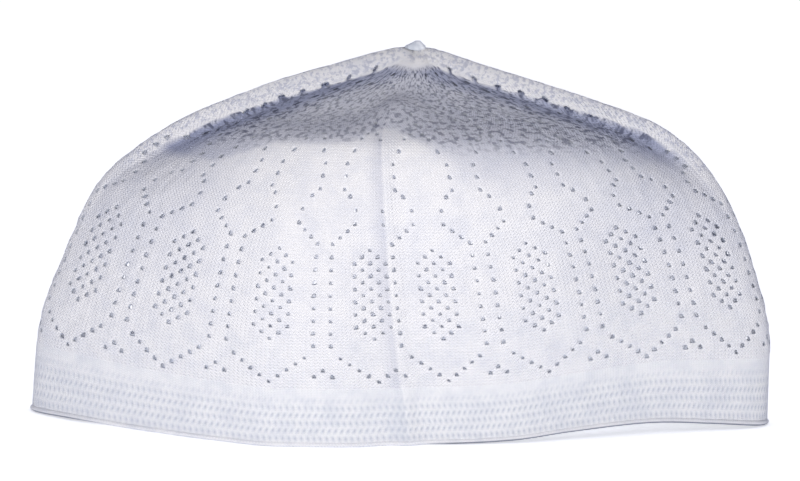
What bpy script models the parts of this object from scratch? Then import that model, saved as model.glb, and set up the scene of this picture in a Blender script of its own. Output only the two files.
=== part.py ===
"""A white knitted kufi cap that stands on its hem, pressed flat from front to back.

Run with: blender --background --python part.py
X runs from the left fold to the right fold, the front looks along -Y, and Z is up.
The cap is an unlined knitted tube, drawn in at the top: an openwork body, a dense ribbed
band at the head opening, a rolled edge welt under the band and a small gathered tip.
"""

import math

import bmesh
import bpy
from mathutils import Matrix, Vector

MM = 0.001

# Driving sizes, in millimetres
BODY_THICKNESS = 2.0
BAND_THICKNESS = 2.4
WELT_HEIGHT = 1.6
WELT_WIDTH = 3.2
BAND_TOP = 17.4
SEAT_GAP = 0.3
WELT_SHOULDER = 0.65
TIP_WIDTH = 6.6
TIP_DEPTH = 4.0
TIP_HEIGHT = 1.5
TIP_TOP_SHARE = 0.54
TIP_ROUNDING = 0.1

# The raised lip along the old flat fold, across the crown from shoulder to shoulder. The
# walls are pinched together under it where it stands at its full height.
LIP_RUN = 5.2
LIP_PINCH = 0.45
LIP_PINCH_RUN = 9.0
LIP_FULL_HEIGHT = 5.0

# How tightly the wall turns at the two side folds, in the plan and across the fold. The
# radius shrinks from the wall's to the lip's between two rounds.
FRONT_TURN = 0.12
BACK_TURN = 0.16
FOLD_RADIUS_HEM = 4.5
FOLD_RADIUS_CROWN = 1.2
FOLD_REACH = 9.0
LIP_START_SHARE = 0.40
LIP_FULL_SHARE = 0.66

# The front seam: a soft ridge up the wall, steeper on its right flank
SEAM_HEIGHT = 1.2
SEAM_LEFT_RUN = 6.5
SEAM_RIGHT_RUN = 4.5

# The openwork: knitted columns in the whole girth, in one repeat, and from the seam to each
# fold, and how far to the right of the seam the first lozenge's middle stands
GIRTH_COLUMNS = 188
REPEAT_COLUMNS = 12
RIGHT_COLUMNS = 49
LEFT_COLUMNS = 45
FIRST_LOZENGE_COLUMN = 5.5
EYELET_WIDTH = 2.8
EYELET_HEIGHT = 3.4
EYELET_SIDES = 6
LOZENGE_HEIGHT = 46.0
LOZENGE_ROW_STEP = 5.6
LOZENGE_COLUMN_STEP = 1.9
SEAM_CLEAR_COLUMNS = 0.8

# The gaps of one lozenge: steps sideways and steps up from its middle
LOZENGE_GAPS = (
    # sideways, up
    (0.0, -1.0),
    (-1.0, -0.5),
    (1.0, -0.5),
    (0.0, 0.0),
    (-1.0, 0.5),
    (1.0, 0.5),
    (0.0, 1.0),
)

# How finely the skins are drawn. Below 1, the crowding sets the rounds a little closer
# together towards the tip.
COLUMNS_PER_QUARTER = 14
BODY_ROWS = 21
BODY_ROW_CROWDING = 0.9
BAND_ROWS = 4
TIP_SIDES = 14

# A row for each round of knitting, from the hem to the tip. share is the way up the wall,
# left and right are the half widths at the folds, fold is the height there, lip is the
# height of the raised lip, seam is how far the front seam stands to the right.
ROUNDS = (
    # share, left,  right, fold,  lip, seam, front, rise,  back,  back_rise
    (0.00, 107.2, 107.2, 0.0, 0.0, 3.2, 41.0, 0.0, 42.4, 0.0),
    (0.15, 105.6, 107.1, 22.0, 0.0, 0.6, 43.0, 18.9, 42.8, 18.9),
    (0.35, 97.2, 101.0, 48.5, 0.0, -2.6, 44.2, 44.0, 42.7, 44.0),
    (0.50, 86.5, 91.0, 69.5, 0.8, -4.4, 43.0, 63.0, 40.6, 62.4),
    (0.62, 71.6, 80.1, 81.7, 3.8, -5.7, 39.4, 78.6, 35.4, 77.0),
    (0.67, 65.7, 75.1, 85.4, 4.8, -6.1, 37.0, 84.4, 31.4, 82.7),
    (0.70, 60.9, 71.1, 88.1, 5.2, -6.2, 34.6, 87.8, 28.6, 85.6),
    (0.73, 56.0, 65.7, 90.5, 5.4, -5.9, 30.0, 90.0, 25.6, 87.9),
    (0.78, 47.9, 55.6, 94.0, 5.4, -4.6, 22.2, 92.4, 20.4, 91.0),
    (0.86, 33.7, 37.7, 99.6, 4.8, -2.4, 13.4, 95.6, 12.4, 95.0),
    (0.93, 18.6, 21.8, 104.3, 3.7, 0.2, 7.2, 99.2, 6.8, 99.2),
    (0.965, 9.7, 13.2, 107.1, 2.8, 1.5, 4.3, 102.6, 4.1, 102.6),
    (1.00, 1.4, 6.2, 109.2, 1.2, 2.4, 2.0, 107.0, 2.0, 107.0),
)
ROUND_COLUMNS = ("share", "left", "right", "fold", "lip", "seam", "front", "rise", "back", "back_rise")

# A row for each station across the front, from the left fold (-1) past the seam (0) to the
# right fold (1). hem, waist and brow are how far forward the wall stands there at the hem,
# at half height and at the roll below the crown, as a share of the front reach. lift is how
# far the hem hangs off the table, and hollow how deep the crown is pressed in behind the
# roll, or below zero how far it is pushed out.
STATIONS = (
    # place, hem,  waist, brow, lift, hollow
    (-1.00, 0.00, 0.00, 0.00, 0.0, 0.0),
    (-0.88, 0.27, 0.27, 0.36, 0.3, 0.4),
    (-0.70, 0.55, 0.57, 0.68, 0.0, 1.0),
    (-0.50, 0.80, 0.83, 0.86, 0.0, 1.4),
    (-0.34, 0.93, 0.97, 0.96, 0.0, 1.4),
    (-0.18, 0.92, 0.97, 0.99, 0.0, 0.5),
    (0.00, 0.81, 0.88, 1.00, 0.0, -2.2),
    (0.14, 0.75, 0.87, 0.99, 0.0, -0.8),
    (0.28, 0.68, 0.82, 0.95, 0.4, 0.4),
    (0.45, 0.53, 0.69, 0.86, 1.8, 0.2),
    (0.66, 0.33, 0.42, 0.68, 2.7, 0.2),
    (0.85, 0.17, 0.20, 0.38, 1.5, 0.1),
    (1.00, 0.00, 0.00, 0.00, 0.0, 0.0),
)
STATION_COLUMNS = ("place", "hem", "waist", "brow", "lift", "hollow")

# The rounds between which those shapes blend into each other or fade out
WAIST_SHARE = 0.35
BROW_SHARE = 0.70
LIFT_END_SHARE = 0.62
HOLLOW_SHARE = 0.81
HOLLOW_SPAN = 0.10
SEAM_END_SHARE = 0.90

# How full the plan of the back is, and how the rounds arch up from the folds to the middle
BACK_FULLNESS_HEM = 1.9
BACK_FULLNESS_CROWN = 2.5
FRONT_ARCH = 2.4
BACK_ARCH = 2.0

# The way in from the skin to its inner side: it turns sideways towards the folds, and it
# tips down by the roof's tilt over the crown.
SIDEWAYS_ONSET = 1.5
ROOF_START_SHARE = 0.50
ROOF_FULL_SHARE = 0.82
ROOF_TILT = 72.0
TIP_START_SHARE = 0.90

# Small steps for reading the form's slopes and for finding a height by halving
SLOPE_STEP = 0.02
HALVINGS = 40


def clear_scene():
    for item in list(bpy.data.objects):
        bpy.data.objects.remove(item, do_unlink=True)


def smooth_table(table, names, name, at):
    """Read one named column of a table at a place between its rows, on a smooth curve."""
    column = names.index(name)
    places = [row[0] for row in table]
    values = [row[column] for row in table]
    at = min(max(at, places[0]), places[-1])
    k = max(i for i in range(len(places) - 1) if places[i] <= at)
    gaps = [places[i + 1] - places[i] for i in range(len(places) - 1)]
    slopes = [(values[i + 1] - values[i]) / gaps[i] for i in range(len(gaps))]

    def tangent(i):
        if i == 0:
            return slopes[0]
        if i == len(values) - 1:
            return slopes[-1]
        before, after = slopes[i - 1], slopes[i]
        if before * after <= 0.0:
            return 0.0
        weight = gaps[i] / (gaps[i - 1] + gaps[i])
        return 1.0 / (weight / before + (1.0 - weight) / after)

    t = (at - places[k]) / gaps[k]
    start, end = tangent(k) * gaps[k], tangent(k + 1) * gaps[k]
    blend = t * t * (3.0 - 2.0 * t)
    return (values[k] * (1.0 - blend) + values[k + 1] * blend
            + start * t * (1.0 - t) ** 2 - end * t * t * (1.0 - t))


def of_round(name, share):
    return smooth_table(ROUNDS, ROUND_COLUMNS, name, share)


def of_station(name, place):
    return smooth_table(STATIONS, STATION_COLUMNS, name, place)


def step_up(value, low, high):
    """Rise smoothly from 0 at low to 1 at high."""
    t = min(max((value - low) / (high - low), 0.0), 1.0)
    return t * t * (3.0 - 2.0 * t)


def bump(value, centre, span):
    """A rounded bump, 1 at centre and 0 beyond span."""
    t = min(abs(value - centre) / span, 1.0)
    return 0.5 + 0.5 * math.cos(math.pi * t)


def turned(place, turn):
    """Draw places in near the folds, so that the wall turns through a small radius there."""
    left_over = 1.0 - abs(place)
    shift = (1.0 + turn) * left_over ** 2 / (left_over + turn)
    return math.copysign(1.0 - shift, place)


def round_off(depth, run, share):
    """Round the two walls where they meet in a fold, run being the way in from it."""
    tighten = step_up(share, LIP_START_SHARE, LIP_FULL_SHARE)
    radius = FOLD_RADIUS_HEM + (FOLD_RADIUS_CROWN - FOLD_RADIUS_HEM) * tighten
    return math.sqrt(depth ** 2 + 2.0 * radius * run * math.exp(-run / FOLD_REACH))


def sheet_point(half, place, share, inset=0.0):
    """A point of the skin without its lip. half is front or back, place runs from -1 to 1."""
    seam = of_round("seam", share)
    across = turned(place, FRONT_TURN if half == "front" else BACK_TURN)
    width = of_round("left" if place < 0.0 else "right", share)
    edge_height = of_round("fold", share) - of_round("lip", share)
    if half == "front":
        side = -1.0 if place < 0.0 else 1.0
        x = seam + abs(across) * (side * width - seam)
        low = of_station("hem", across)
        mid = of_station("waist", across)
        high = of_station("brow", across)
        plan = low + (mid - low) * step_up(share, 0.0, WAIST_SHARE)
        plan = plan + (high - plan) * step_up(share, WAIST_SHARE, BROW_SHARE)
        y = -of_round("front", share) * plan
        rise = of_round("rise", share)
        z = edge_height + (rise - edge_height) * (1.0 - abs(across) ** FRONT_ARCH)
        z += of_station("lift", across) * (1.0 - step_up(share, WAIST_SHARE, LIFT_END_SHARE))
        z -= of_station("hollow", across) * bump(share, HOLLOW_SHARE, HOLLOW_SPAN)
        flank = SEAM_LEFT_RUN if x < seam else SEAM_RIGHT_RUN
        ridge = SEAM_HEIGHT * bump(x - seam, 0.0, flank)
        y -= ridge * (1.0 - step_up(share, BROW_SHARE, SEAM_END_SHARE))
        y = -round_off(-y, (1.0 - abs(across)) * width, share)
    else:
        x = across * width
        fullness = BACK_FULLNESS_HEM + (BACK_FULLNESS_CROWN - BACK_FULLNESS_HEM) * share
        plan = 1.0 - abs(across) ** fullness
        y = round_off(of_round("back", share) * plan, (1.0 - abs(across)) * width, share)
        rise = of_round("back_rise", share)
        z = edge_height + (rise - edge_height) * (1.0 - abs(across) ** BACK_ARCH)
    if inset:
        x, y, z = inset_point(half, across, share, x, y, z, inset)
    return Vector((x, y, z))


def inset_point(half, across, share, x, y, z, inset):
    """Step in from the skin by the wall's thickness, along a direction that turns smoothly."""
    facing = -1.0 if half == "front" else 1.0
    sideways = math.copysign(abs(across) ** SIDEWAYS_ONSET, across) * math.pi / 2
    tilt = step_up(share, ROOF_START_SHARE, ROOF_FULL_SHARE) * math.radians(ROOF_TILT)
    taper = 1.0 - step_up(share, TIP_START_SHARE, 1.0)
    flat = inset * math.cos(tilt) * taper
    x -= flat * math.sin(sideways)
    y -= facing * flat * math.cos(sideways)
    z -= inset * math.sin(tilt)
    return x, y, z


def place_on(column, columns):
    """Spread columns over a quarter, a little closer together near the fold."""
    even = column / columns
    return (even + math.sin(math.pi / 2 * even)) / 2


def round_places():
    """Halves and places of one round, from the seam by the right fold and the back."""
    n = COLUMNS_PER_QUARTER
    ring = [("front", place_on(i, n)) for i in range(n)]
    ring += [("back", place_on(n - i, n)) for i in range(2 * n)]
    ring += [("front", -place_on(n - i, n)) for i in range(n)]
    return ring


def round_points(share, lip=True, inset=0.0):
    """All points of one round, with the raised lip near the folds."""
    ring = round_places()
    points = [sheet_point(half, place, share, inset) for half, place in ring]
    if not lip:
        return points
    count = len(points)
    height = of_round("lip", share)
    outward = fold_normals(share)
    shaped = []
    for i, point in enumerate(points):
        side = 1 if i < count / 2 else -1
        fold = count // 4 if side > 0 else 3 * count // 4
        step = 1 if i < fold else -1
        reach = sum((points[j + step] - points[j]).length for j in range(i, fold, step))
        raised = height * (1.0 - min(reach / LIP_RUN, 1.0) ** 2)
        pinch = LIP_PINCH * min(height / LIP_FULL_HEIGHT, 1.0)
        pinch = 1.0 - pinch * bump(reach, 0.0, LIP_PINCH_RUN)
        shaped.append(Vector((point.x, point.y * pinch, point.z)) + outward[side] * raised)
    return shaped


def fold_normals(share):
    """The direction that the lip stands in on each side, square to the fold line."""
    normals = {}
    for side, name in ((1, "right"), (-1, "left")):
        low, high = max(share - SLOPE_STEP, 0.0), min(share + SLOPE_STEP, 1.0)
        run = side * (of_round(name, high) - of_round(name, low))
        climb = of_round("fold", high) - of_round("fold", low)
        normal = Vector((climb, 0.0, -run)) if side > 0 else Vector((-climb, 0.0, run))
        normals[side] = normal.normalized()
    return normals


def share_at_height(height):
    """The share of the way up at which the wall reaches a height near the hem."""
    low, high = 0.0, 0.5
    for _ in range(HALVINGS):
        middle = (low + high) / 2
        if of_round("rise", middle) < height:
            low = middle
        else:
            high = middle
    return low


def add_ring(mesh, points):
    return [mesh.verts.new(point * MM) for point in points]


def join_rings(mesh, lower, upper):
    """Close the strip between two rings with quads that face outwards."""
    count = len(lower)
    for i in range(count):
        j = (i + 1) % count
        mesh.faces.new((lower[i], lower[j], upper[j], upper[i]))


def close_top(mesh, ring, height):
    """Close a ring with a shallow cone up to a height, in millimetres."""
    count = len(ring)
    middle = sum((vert.co for vert in ring), Vector()) / count
    apex = mesh.verts.new((middle.x, middle.y, height * MM))
    for i in range(count):
        mesh.faces.new((ring[i], ring[(i + 1) % count], apex))


def finish(name, mesh, material, sharp=40.0):
    """Make a named, smooth-shaded object of a finished mesh."""
    bmesh.ops.recalc_face_normals(mesh, faces=mesh.faces)
    data = bpy.data.meshes.new(name)
    mesh.to_mesh(data)
    mesh.free()
    data.shade_smooth()
    data.set_sharp_from_angle(angle=math.radians(sharp))
    data.materials.append(material)
    item = bpy.data.objects.new(name, data)
    bpy.context.scene.collection.objects.link(item)
    return item


def cotton(name, colour, roughness):
    material = bpy.data.materials.new(name)
    material.use_nodes = True
    shader = material.node_tree.nodes["Principled BSDF"]
    shader.inputs["Base Color"].default_value = (*colour, 1.0)
    shader.inputs["Roughness"].default_value = roughness
    shader.inputs["Metallic"].default_value = 0.0
    return material


def body_shares():
    """Rounds from the band's top to the tip, closer together on the roll and the crown."""
    start = share_at_height(BAND_TOP + SEAT_GAP)
    ways = [(i / BODY_ROWS) ** BODY_ROW_CROWDING for i in range(BODY_ROWS + 1)]
    return [start + (1.0 - start) * way for way in ways]


def make_body(material):
    """The openwork wall and crown: one closed shell, open at its lower edge."""
    mesh = bmesh.new()
    outer = [add_ring(mesh, round_points(share)) for share in body_shares()]
    inner = [add_ring(mesh, round_points(share, False, BODY_THICKNESS)) for share in body_shares()]
    for skin in (outer, inner):
        for lower, upper in zip(skin, skin[1:]):
            join_rings(mesh, lower, upper)
    close_top(mesh, outer[-1], of_round("fold", 1.0))
    close_top(mesh, inner[-1], of_round("fold", 1.0) - BODY_THICKNESS)
    join_rings(mesh, inner[0], outer[0])
    body = finish("knitted_body", mesh, material)
    cutter = eyelet_cutter()
    cut = body.modifiers.new("eyelets", "BOOLEAN")
    cut.operation = "DIFFERENCE"
    cut.solver = "EXACT"
    cut.object = cutter
    return body


def column_place(column):
    """The half and the place of a knitted column, counted to the right from the seam."""
    right_fold = RIGHT_COLUMNS
    left_fold = GIRTH_COLUMNS - LEFT_COLUMNS
    if column <= right_fold:
        return "front", column / right_fold
    if column >= left_fold:
        return "front", -(GIRTH_COLUMNS - column) / LEFT_COLUMNS
    middle = (right_fold + left_fold) / 2
    return "back", (middle - column) / (middle - right_fold)


def eyelet_cutter():
    """A prism for each main gap of the lozenges, square to the wall."""
    mesh = bmesh.new()
    for first in range(0, GIRTH_COLUMNS, REPEAT_COLUMNS):
        for sideways, up in LOZENGE_GAPS:
            column = FIRST_LOZENGE_COLUMN + first + sideways * LOZENGE_COLUMN_STEP
            share = share_at_height(LOZENGE_HEIGHT + up * LOZENGE_ROW_STEP)
            if column < GIRTH_COLUMNS - SEAM_CLEAR_COLUMNS:
                add_prism(mesh, column, share)
    data = bpy.data.meshes.new("eyelet_cutter")
    bmesh.ops.recalc_face_normals(mesh, faces=mesh.faces)
    mesh.to_mesh(data)
    mesh.free()
    cutter = bpy.data.objects.new("eyelet_cutter", data)
    cutter.hide_render = True
    cutter.display_type = "WIRE"
    bpy.context.scene.collection.objects.link(cutter)
    return cutter


def add_prism(mesh, column, share):
    """One six-sided prism through the wall, with its axis along the wall's normal."""
    centre = sheet_point(*column_place(column), share)
    beside = sheet_point(*column_place(column + SEAM_CLEAR_COLUMNS / 2), share)
    above = sheet_point(*column_place(column), share + SLOPE_STEP)
    sideways = (beside - centre).normalized()
    outward = sideways.cross(above - centre).normalized()
    upward = outward.cross(sideways)
    turn = Matrix((sideways, upward, outward)).transposed().to_4x4()
    turn.translation = centre * MM
    made = bmesh.ops.create_cone(
        mesh, cap_ends=True, segments=EYELET_SIDES, radius1=0.5, radius2=0.5, depth=1.0)
    scale = Matrix.Diagonal((EYELET_WIDTH * MM, EYELET_HEIGHT * MM, 3.0 * BODY_THICKNESS * MM, 1.0))
    bmesh.ops.transform(mesh, matrix=turn @ scale, verts=made["verts"])


def make_band(material):
    """The dense ribbed border: a closed strip between the welt and the body."""
    mesh = bmesh.new()
    low = share_at_height(WELT_HEIGHT + SEAT_GAP)
    high = share_at_height(BAND_TOP)
    shares = [low + (high - low) * i / BAND_ROWS for i in range(BAND_ROWS + 1)]
    outer = [add_ring(mesh, round_points(share, False)) for share in shares]
    inner = [add_ring(mesh, round_points(share, False, BAND_THICKNESS)) for share in shares]
    for skin in (outer, inner):
        for lower, upper in zip(skin, skin[1:]):
            join_rings(mesh, lower, upper)
    join_rings(mesh, inner[0], outer[0])
    join_rings(mesh, outer[-1], inner[-1])
    return finish("hem_band", mesh, material)


def make_welt(material):
    """The rolled edge: a low, round-shouldered ring with a flat underside."""
    mesh = bmesh.new()
    outside = (WELT_WIDTH - BAND_THICKNESS) / 2
    inside = outside - WELT_WIDTH
    profile = (
        # proud, height
        (outside - WELT_SHOULDER, 0.0),
        (outside, WELT_SHOULDER),
        (outside, WELT_HEIGHT - WELT_SHOULDER),
        (outside - WELT_SHOULDER, WELT_HEIGHT),
        (inside + WELT_SHOULDER, WELT_HEIGHT),
        (inside, WELT_HEIGHT - WELT_SHOULDER),
        (inside, WELT_SHOULDER),
        (inside + WELT_SHOULDER, 0.0),
    )
    rings = []
    for proud, height in profile:
        points = round_points(0.0, False, -proud)
        rings.append(add_ring(mesh, [point + Vector((0.0, 0.0, height)) for point in points]))
    for lower, upper in zip(rings, rings[1:] + rings[:1]):
        join_rings(mesh, lower, upper)
    return finish("edge_welt", mesh, material, sharp=60.0)


def make_tip(material):
    """The gathered tip: a small flattened stub with rounded rims on top of the body."""
    mesh = bmesh.new()
    bmesh.ops.create_cone(
        mesh, cap_ends=True, segments=TIP_SIDES, radius1=0.5, radius2=0.5 * TIP_TOP_SHARE, depth=1.0)
    rims = [edge for edge in mesh.edges if abs(edge.verts[0].co.z - edge.verts[1].co.z) < 0.5]
    bmesh.ops.bevel(
        mesh, geom=rims, affect="EDGES", offset=TIP_ROUNDING, segments=2, profile=0.5, material=-1)
    scale = Matrix.Diagonal((TIP_WIDTH * MM, TIP_DEPTH * MM, TIP_HEIGHT * MM, 1.0))
    middle = of_round("fold", 1.0) + SEAT_GAP + TIP_HEIGHT / 2
    move = Matrix.Translation(Vector((of_round("seam", 1.0), 0.0, middle)) * MM)
    bmesh.ops.transform(mesh, matrix=move @ scale, verts=mesh.verts)
    return finish("tip_stub", mesh, material)


clear_scene()
make_body(cotton("openwork_cotton_knit", (0.86, 0.87, 0.90), 0.85))
make_band(cotton("ribbed_cotton_knit", (0.84, 0.85, 0.88), 0.88))
make_welt(cotton("rolled_cotton_edge", (0.84, 0.85, 0.88), 0.85))
make_tip(cotton("gathered_cotton_yarn", (0.70, 0.72, 0.76), 0.90))
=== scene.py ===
import math
import random

import bmesh
import bpy
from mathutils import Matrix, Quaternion, Vector


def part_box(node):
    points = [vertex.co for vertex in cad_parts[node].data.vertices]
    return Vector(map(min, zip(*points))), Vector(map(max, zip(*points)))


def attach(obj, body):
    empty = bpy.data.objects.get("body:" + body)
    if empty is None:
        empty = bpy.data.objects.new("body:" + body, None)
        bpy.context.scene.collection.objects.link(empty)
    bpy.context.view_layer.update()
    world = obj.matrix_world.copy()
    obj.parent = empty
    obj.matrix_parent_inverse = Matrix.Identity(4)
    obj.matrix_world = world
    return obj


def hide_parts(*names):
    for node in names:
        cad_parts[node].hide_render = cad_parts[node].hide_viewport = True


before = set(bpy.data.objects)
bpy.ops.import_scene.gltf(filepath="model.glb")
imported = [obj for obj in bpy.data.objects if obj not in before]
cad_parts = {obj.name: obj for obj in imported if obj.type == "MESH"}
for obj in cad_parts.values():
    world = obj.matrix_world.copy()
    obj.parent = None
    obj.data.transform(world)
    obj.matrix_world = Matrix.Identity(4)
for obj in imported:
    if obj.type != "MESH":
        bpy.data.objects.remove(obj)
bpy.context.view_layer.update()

# Knitted body: openwork cotton jersey, knitted in the round on a machine and closed by one seam
# up the front. Tall hexagons of eyelets stand round the wall with a lozenge of eyelets in each,
# and on the crown the rounds are drawn in towards the tip at small eyelets.
MM = 0.001
GIRTH_COLUMNS = 188
RIGHT_COLUMNS = 49
LEFT_COLUMNS = 45
BODY_COLUMNS = 2 * GIRTH_COLUMNS
BODY_THICKNESS = 1.0
BAND_TOP = 17.55
TOP_HEIGHT = 109.4

# The tube was stored folded flat and now stands half open: two bulging walls that meet in soft
# folds at the sides. Lengths are in millimetres, and a share of the way up runs from 0 at the
# hem to 1 at the tip. A turn is how much the columns crowd together towards a fold.
FRONT_TURN = 0.12
BACK_TURN = 0.16
FOLD_RADIUS_HEM = 4.5
FOLD_RADIUS_CROWN = 1.2
FOLD_TIGHTENS = (0.40, 0.66)
FOLD_REACH = 9.0
WAIST_SHARE = 0.35
BROW_SHARE = 0.70
LIFT_END_SHARE = 0.62
HOLLOW_SHARE = 0.81
HOLLOW_SPAN = 0.10
FRONT_ARCH = 2.4
BACK_FULLNESS_HEM = 1.9
BACK_FULLNESS_CROWN = 2.5

# The old fold crosses the crown as a raised lip, pinched in a little at its foot
LIP_RUN = 5.2
LIP_PINCH = 0.45
LIP_PINCH_RUN = 9.0
LIP_PINCH_HEIGHT = 5.0
LIP_SLOPE_SPAN = 0.02

# The seam shows as a soft ridge, which ends on the crown
SEAM_HEIGHT = 1.3
SEAM_LEFT_RUN = 6.5
SEAM_RIGHT_RUN = 4.5
SEAM_END_SHARE = 0.92

# A row for each round of knitting from the hem to the tip, in millimetres: the share of the way
# up, the half widths and the height at the folds, the lip's height, where the seam stands, and
# how far forward and how high the middle of the front and of the back lie.
ROUND_COLUMNS = ("share", "left", "right", "fold", "lip", "seam", "front", "rise", "back", "back_rise")
ROUNDS = (
    (0.00, 107.2, 107.2, 0.0, 0.0, 3.2, 41.0, 0.0, 42.4, 0.0),
    (0.15, 105.6, 107.1, 22.0, 0.0, 0.6, 43.0, 18.9, 42.8, 18.9),
    (0.35, 97.2, 101.0, 48.5, 0.0, -2.6, 44.2, 44.0, 42.7, 44.0),
    (0.50, 86.5, 91.0, 69.5, 0.8, -4.4, 43.0, 63.0, 40.6, 62.4),
    (0.62, 71.6, 80.1, 81.7, 3.8, -5.7, 39.4, 78.6, 35.4, 77.0),
    (0.67, 65.7, 75.1, 85.4, 4.8, -6.1, 37.0, 84.4, 31.4, 82.7),
    (0.70, 60.9, 71.1, 88.1, 5.2, -6.2, 34.6, 87.8, 28.6, 85.6),
    (0.73, 56.0, 65.7, 90.5, 5.4, -5.9, 30.0, 90.0, 25.6, 87.9),
    (0.78, 47.9, 55.6, 94.0, 5.4, -4.6, 22.2, 92.4, 20.4, 91.0),
    (0.86, 33.7, 37.7, 99.6, 4.8, -2.4, 13.4, 95.6, 12.4, 95.0),
    (0.93, 18.6, 21.8, 104.3, 3.7, 0.2, 7.2, 99.2, 6.8, 99.2),
    (0.965, 9.7, 13.2, 107.1, 2.8, 1.5, 4.3, 102.6, 4.1, 102.6),
    (1.00, 1.4, 6.2, 109.2, 1.2, 2.4, 2.0, 107.0, 2.0, 107.0),
)

# A row for each station across the front from the left fold to the right fold: how far forward
# the wall stands at the hem, the waist and the brow, how far the hem hangs clear of the table,
# and how deep the crown is pressed in behind the brow, or below zero pushed out.
STATION_COLUMNS = ("place", "hem", "waist", "brow", "lift", "hollow")
STATIONS = (
    (-1.00, 0.00, 0.00, 0.00, 0.0, 0.0),
    (-0.88, 0.27, 0.27, 0.36, 0.3, 0.4),
    (-0.70, 0.55, 0.57, 0.68, 0.0, 1.0),
    (-0.50, 0.80, 0.83, 0.86, 0.0, 1.4),
    (-0.34, 0.93, 0.97, 0.96, 0.0, 1.4),
    (-0.18, 0.92, 0.97, 0.99, 0.0, 0.5),
    (0.00, 0.81, 0.88, 1.00, 0.0, -2.2),
    (0.14, 0.75, 0.87, 0.99, 0.0, -0.8),
    (0.28, 0.68, 0.82, 0.95, 0.4, 0.4),
    (0.45, 0.53, 0.69, 0.86, 1.8, 0.2),
    (0.66, 0.33, 0.42, 0.68, 2.7, 0.2),
    (0.85, 0.17, 0.20, 0.38, 1.5, 0.1),
    (1.00, 0.00, 0.00, 0.00, 0.0, 0.0),
)

# The chart's courses are counted down from the middle of the lozenges. Here are the share of the
# way up that one takes, the course that the hem would be, and the body's lowest and highest.
COURSE = 0.0146
FIRST_COURSE = 23.6
BODY_LOW_COURSE = 13
BODY_TOP_COURSE = -44
TOP_SHARES = (0.994, 1.0)

# Eyelets of one repeat of the knit: how many columns from the lozenge's middle, and the courses
REPEAT = 12
EYELET_CHART = {
    0: (-8, -6, -4, -2, 0, 2, 4, 6, 13, -28),
    1: (-7, -5, -3, -1, 1, 3, 5, 12, -26),
    2: (-6, -4, -2, 0, 2, 4, 11, -12, -14, -25),
    3: (10, -11, -16, -23),
    4: (9, -10, -17, -19, -21),
    5: (-7, -5, -3, -1, 1, 3, 5, 7, -9, 12),
    6: (11,),
}

# An eyelet's half widths and half heights in millimetres at its corners, and how much taller it
# is in its middle: a drop on the wall, a slit on the crown. Each is drawn a little larger or
# smaller, leaning a little to one side, and they open wider towards the folds.
EYELET_MARGIN = 0.3
EYELET_SIZES = (0.68, 1.10)
EYELET_LEAN = 0.35
EYELET_EDGE_ACROSS = 0.10
EYELET_EDGE_UP = 0.08
DROP_TOP = (0.45, 0.34, 0.42)
DROP_FOOT = (0.66, 0.50, 0.22)
SLIT = (0.42, 0.52, 0.36)
SIDE_STRETCH = 0.30
SIDE_STRETCH_PLACES = (0.35, 0.65)

# The crown's eyelets: rounds two courses apart, a little over four millimetres from one to the
# next, in turn set half a step on. One stands at each foot of the lip, and none by the seam.
CROWN_COURSES = range(-30, -43, -2)
CROWN_PITCH = 4.3
CROWN_WIDTH = 1.5
CROWN_START = 0.25
LIP_SLIT_GAP = 1.0
LIP_CLEAR_SPANS = 2.0
SEAM_CLEAR = 3

# How uneven the knit is, as a share of a column's width: more towards the folds and where the
# rounds are drawn in, and in millimetres on the lip, where the old fold has roughed it up
WALL_UNEVENNESS = 0.07
SIDE_UNEVENNESS = 0.15
SIDE_UNEVEN_PLACES = (0.50, 0.85)
CROWN_UNEVENNESS = 0.28
CROWN_UNEVEN_SHARES = (0.62, 0.74)
LIP_UNEVENNESS = 0.13
LIP_UNEVEN_SHARES = (0.45, 0.60)

# The crown's knit is open, and is given painted shade where the light falls away. The shade starts
# at the brow, higher in the middle, with a firm edge at the left and from further down, softly, at the right.
CROWN_PAINTED_SHADE = 0.39
BROW_LINE = 0.690
BROW_RUN = 0.018
CENTRE_RISE = 0.040
CENTRE_SPAN = 0.17
RIGHT_PLACES = (0.10, 0.32)
RIGHT_LOWERED = 0.15
RIGHT_DARKER = 0.04
LEFT_PLACES = (0.45, 0.75)
LEFT_LOWERED = 0.07
LEFT_END_PLACES = (0.55, 0.80)
LEFT_DARKER = 0.14

# More painted shade: in the dip beside the lip, at the far sides of the wall, and left of the
# seam. The lip and the very top are kept clear of the shade instead, with small specks.
LIP_FOOT = (LIP_RUN - 0.3, LIP_RUN + 1.0)
DIP_PAINTED_SHADE = 0.50
DIP_RUN = (8.0, 20.0)
DIP_SHARES = (0.54, 0.64)
SIDE_PAINTED_SHADE = 0.17
SIDE_PAINTED_SHADE_PLACES = (0.42, 0.72)
SIDE_PAINTED_SHADE_SHARES = (0.30, 0.45)
SEAM_PAINTED_SHADE = 0.30
SEAM_PAINTED_SHADE_RUN = (0.5, 7.0)
SEAM_PAINTED_SHADE_SHARES = (0.69, 0.79)
LIP_SPECK_SHARES = (0.50, 0.58)
TOP_SPECK_SHARES = (0.972, 0.990)

# Plain jersey stitches: how steep the arms of a V stand, how far the wale and the fuzz stand up
# beside the loop, and how much the loops and the soft patches change the tone
BODY_STITCH_ROWS = 137.0
STITCH_SLANT = 1.3
WALE_RELIEF = 2.4
FUZZ_RELIEF = 0.9
RELIEF_STRENGTH = 0.55
STITCH_TONE = 0.10
TONE_RANGE = (0.25, 0.62)

# Counts to the millimetre: fuzz of 0.7 mm, coarser than real fibre so that it shows, patches of
# 6 mm where the yarn lies looser, and rubbed specks of 1.1 mm
FUZZ_PER_MM = 1.4
PATCHES_PER_MM = 0.16
SPECKS_PER_MM = 0.9
SPECK_EDGE = (0.47, 0.60)
SPECK_GREYS = (-0.2, -1.0)
SPECK_STRENGTH = 0.5
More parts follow.
